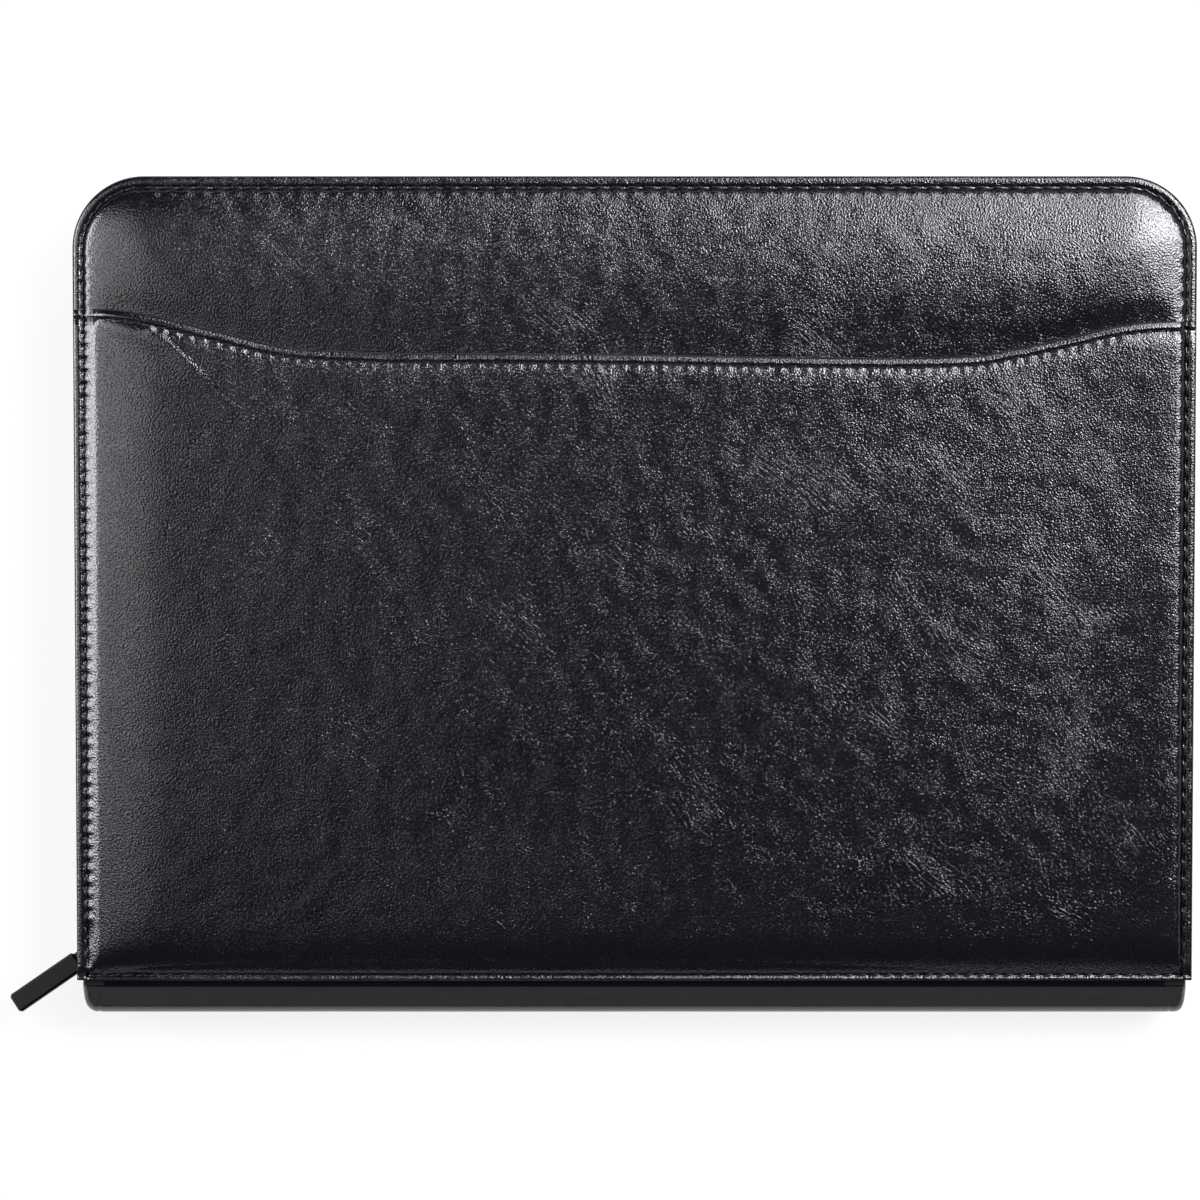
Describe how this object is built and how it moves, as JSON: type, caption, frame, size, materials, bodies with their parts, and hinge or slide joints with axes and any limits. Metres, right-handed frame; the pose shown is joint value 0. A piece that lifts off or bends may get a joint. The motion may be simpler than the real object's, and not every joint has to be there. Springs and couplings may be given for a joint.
{
  "type": "zippered padfolio",
  "caption": "Padded leather document case that opens like a book, with an outer pocket, a zip on three sides, a writing pad and an organiser inside.",
  "frame": {"origin": "middle of the back cover's outer face, which the closed case lies on", "axes": "+X along the spine, +Y from the spine to the zipped opening edge, +Z from the back cover to the front cover"},
  "size_m": [0.3648, 0.2579, 0.03],
  "materials": {
    "black_leather": "fine pebble grain, soft sheen",
    "padding_foam": "soft open foam",
    "stiff_board": "grey board",
    "lining_cloth": "fine woven cloth",
    "zip_tape": "twill tape",
    "zip_coil": "moulded coil",
    "black_metal": "satin black coating",
    "pad_card": "raw grey card",
    "white_paper": "ruled writing paper",
    "binding_tape": "smooth binding tape",
    "clear_vinyl": "clear and glossy",
    "pen_elastic": "ribbed elastic"
  },
  "bodies": {
    "back_cover": {"back_cover_leather": "black_leather", "back_cover_foam": "padding_foam", "back_cover_board": "stiff_board", "back_lining": "lining_cloth", "back_zip_tape": "zip_tape", "back_zip_teeth": "zip_coil", "zip_end_stops": "black_metal", "pad_holder": "lining_cloth", "pad_card": "pad_card", "pad_sheets": "white_paper", "pad_binding": "binding_tape"},
    "spine": {"spine_leather": "black_leather", "spine_board": "stiff_board", "spine_lining": "lining_cloth"},
    "front_cover": {"front_cover_leather": "black_leather", "front_cover_foam": "padding_foam", "front_cover_board": "stiff_board", "front_lining": "lining_cloth", "front_zip_tape": "zip_tape", "front_zip_teeth": "zip_coil", "pocket_panel": "black_leather", "pocket_lining": "lining_cloth", "file_pocket": "black_leather", "card_pocket_1": "black_leather", "card_pocket_2": "black_leather", "card_pocket_3": "black_leather", "window_vinyl": "clear_vinyl", "window_frame": "black_leather", "pen_loop": "pen_elastic"},
    "slider": {"slider_body": "black_metal", "slider_bail": "black_metal"},
    "link": {"pull_link": "black_metal"},
    "pull": {"zip_pull": "black_metal"}
  },
  "joints": [
    {"name": "spine_fold", "type": "hinge", "parent": "back_cover", "child": "spine", "pos_m": [0, -0.12551, 0.00564], "axis": [1, 0, 0], "range_deg": [0, 90], "deforming": ["spine_leather"]},
    {"name": "cover_fold", "type": "hinge", "parent": "spine", "child": "front_cover", "pos_m": [0, -0.12551, 0.02436], "axis": [1, 0, 0], "range_deg": [0, 90], "deforming": ["spine_leather"]},
    {"name": "slider_travel", "type": "slide", "parent": "back_cover", "child": "slider", "axis": [0, 1, 0], "range_m": [0, 0.2105]},
    {"name": "link_swing", "type": "hinge", "parent": "slider", "child": "link", "pos_m": [-0.1667, -0.1113, 0.01415], "axis": [0, 0, 1], "range_deg": [-80, 15]},
    {"name": "pull_swing", "type": "hinge", "parent": "link", "child": "pull", "pos_m": [-0.17082, -0.11414, 0.01415], "axis": [0, 0, 1], "range_deg": [-25, 25]}
  ]
}
